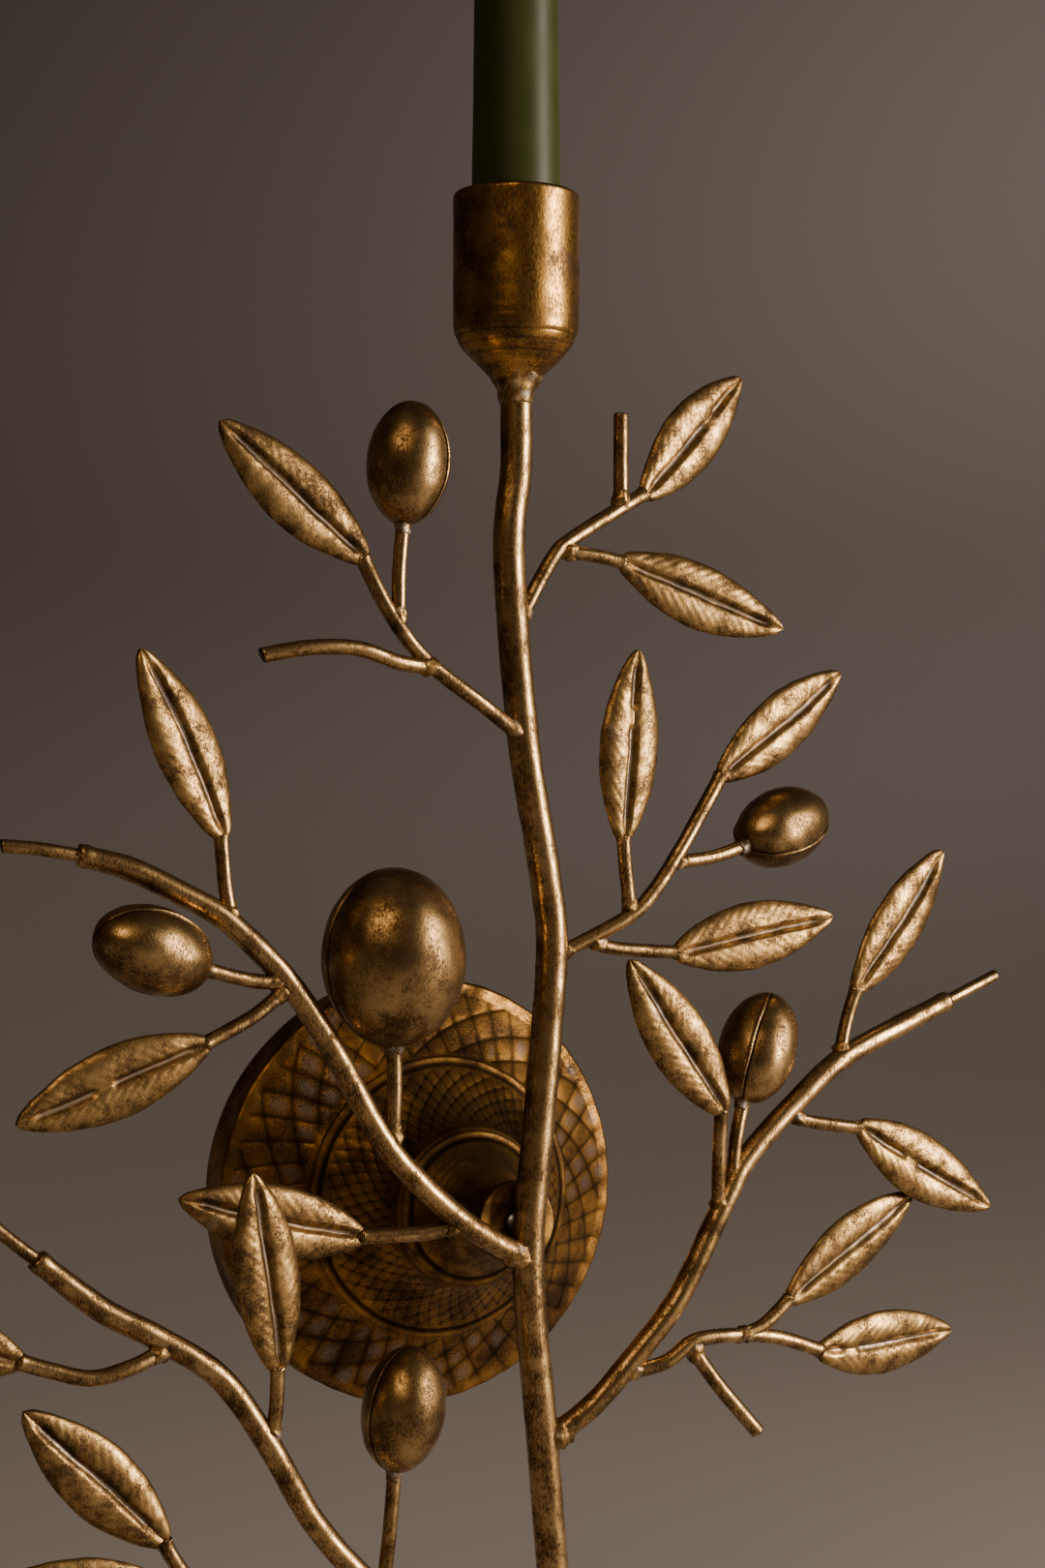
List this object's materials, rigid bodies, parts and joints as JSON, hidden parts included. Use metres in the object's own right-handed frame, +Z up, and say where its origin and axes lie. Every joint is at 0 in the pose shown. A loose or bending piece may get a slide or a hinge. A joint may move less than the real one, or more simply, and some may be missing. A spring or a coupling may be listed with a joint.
{
  "type": "wall sconce candle holder",
  "caption": "Olive-branch wall sconce of antique-gold iron: a wavy stem with leaves, olives and cut twigs stands off a round embossed wall rose and carries a candle cup with a taper candle.",
  "frame": {"origin": "centre of the wall rose, on the wall plane that its back edge rests on", "axes": "+Y into the wall, so the front faces -Y; +Z up along the candle; +X to the viewer's right"},
  "size_m": [0.3197, 0.0973, 0.6572],
  "materials": {
    "antique_gold_iron": "rubbed antique gold over dark forged iron",
    "antique_gold_leaf": "stamped leaves, rubbed antique gold, worn grey along the midrib",
    "antique_gold_olive": "pressed half shells, smooth rubbed antique gold",
    "embossed_gold_sheet": "embossed sheet, amber gold with darkened hollows",
    "zinc_plated_steel": "dull zinc plate",
    "olive_green_wax": "satin dyed candle wax",
    "cotton_wick": "braided cotton"
  },
  "bodies": {
    "holder": {"wall_dish": "embossed_gold_sheet", "middle_bell": "embossed_gold_sheet", "neck_bell": "embossed_gold_sheet", "end_disc": "embossed_gold_sheet", "hanger_strap": "zinc_plated_steel", "centre_rod": "zinc_plated_steel", "rod_nuts": "zinc_plated_steel", "rear_washer": "zinc_plated_steel", "candle_cup": "antique_gold_iron", "main_stem": "antique_gold_iron", "upper_left_twig": "antique_gold_iron", "upper_left_stub": "antique_gold_iron", "upper_left_stalk": "antique_gold_iron", "upper_right_twig": "antique_gold_iron", "upper_right_stub": "antique_gold_iron", "upper_right_stalk": "antique_gold_iron", "right_twig": "antique_gold_iron", "right_twig_stalks": "antique_gold_iron", "left_branch": "antique_gold_iron", "left_branch_tip": "antique_gold_iron", "left_branch_stalks": "antique_gold_iron", "left_side_twig": "antique_gold_iron", "right_branch": "antique_gold_iron", "right_branch_tip": "antique_gold_iron", "right_branch_stalks": "antique_gold_iron", "right_side_twig": "antique_gold_iron", "right_side_stalk": "antique_gold_iron", "right_side_stub": "antique_gold_iron", "lower_branch": "antique_gold_iron", "lower_branch_tip": "antique_gold_iron", "lower_branch_stalks": "antique_gold_iron", "lower_twig": "antique_gold_iron", "foot_twig": "antique_gold_iron", "foot_stalk": "antique_gold_iron", "upper_left_leaf": "antique_gold_leaf", "upper_right_leaf": "antique_gold_leaf", "upper_side_leaf": "antique_gold_leaf", "right_end_leaf": "antique_gold_leaf", "right_upright_leaf": "antique_gold_leaf", "right_side_leaf": "antique_gold_leaf", "left_upright_leaf": "antique_gold_leaf", "left_low_leaf": "antique_gold_leaf", "left_inner_leaf": "antique_gold_leaf", "branch_high_leaf": "antique_gold_leaf", "branch_out_leaf": "antique_gold_leaf", "branch_in_leaf": "antique_gold_leaf", "branch_side_leaf": "antique_gold_leaf", "branch_low_leaf": "antique_gold_leaf", "lower_upright_leaf": "antique_gold_leaf", "lower_end_leaf": "antique_gold_leaf", "foot_end_leaf": "antique_gold_leaf", "foot_side_leaf": "antique_gold_leaf", "upper_olive": "antique_gold_olive", "right_olive": "antique_gold_olive", "left_olive": "antique_gold_olive", "big_olive": "antique_gold_olive", "branch_olive": "antique_gold_olive", "lower_olive": "antique_gold_olive"},
    "candle": {"candle_wax": "olive_green_wax", "candle_wick": "cotton_wick"}
  },
  "joints": [
    {"name": "candle_lift", "type": "slide", "parent": "holder", "child": "candle", "axis": [0, 0, 1], "range_m": [0, 0.06]}
  ]
}
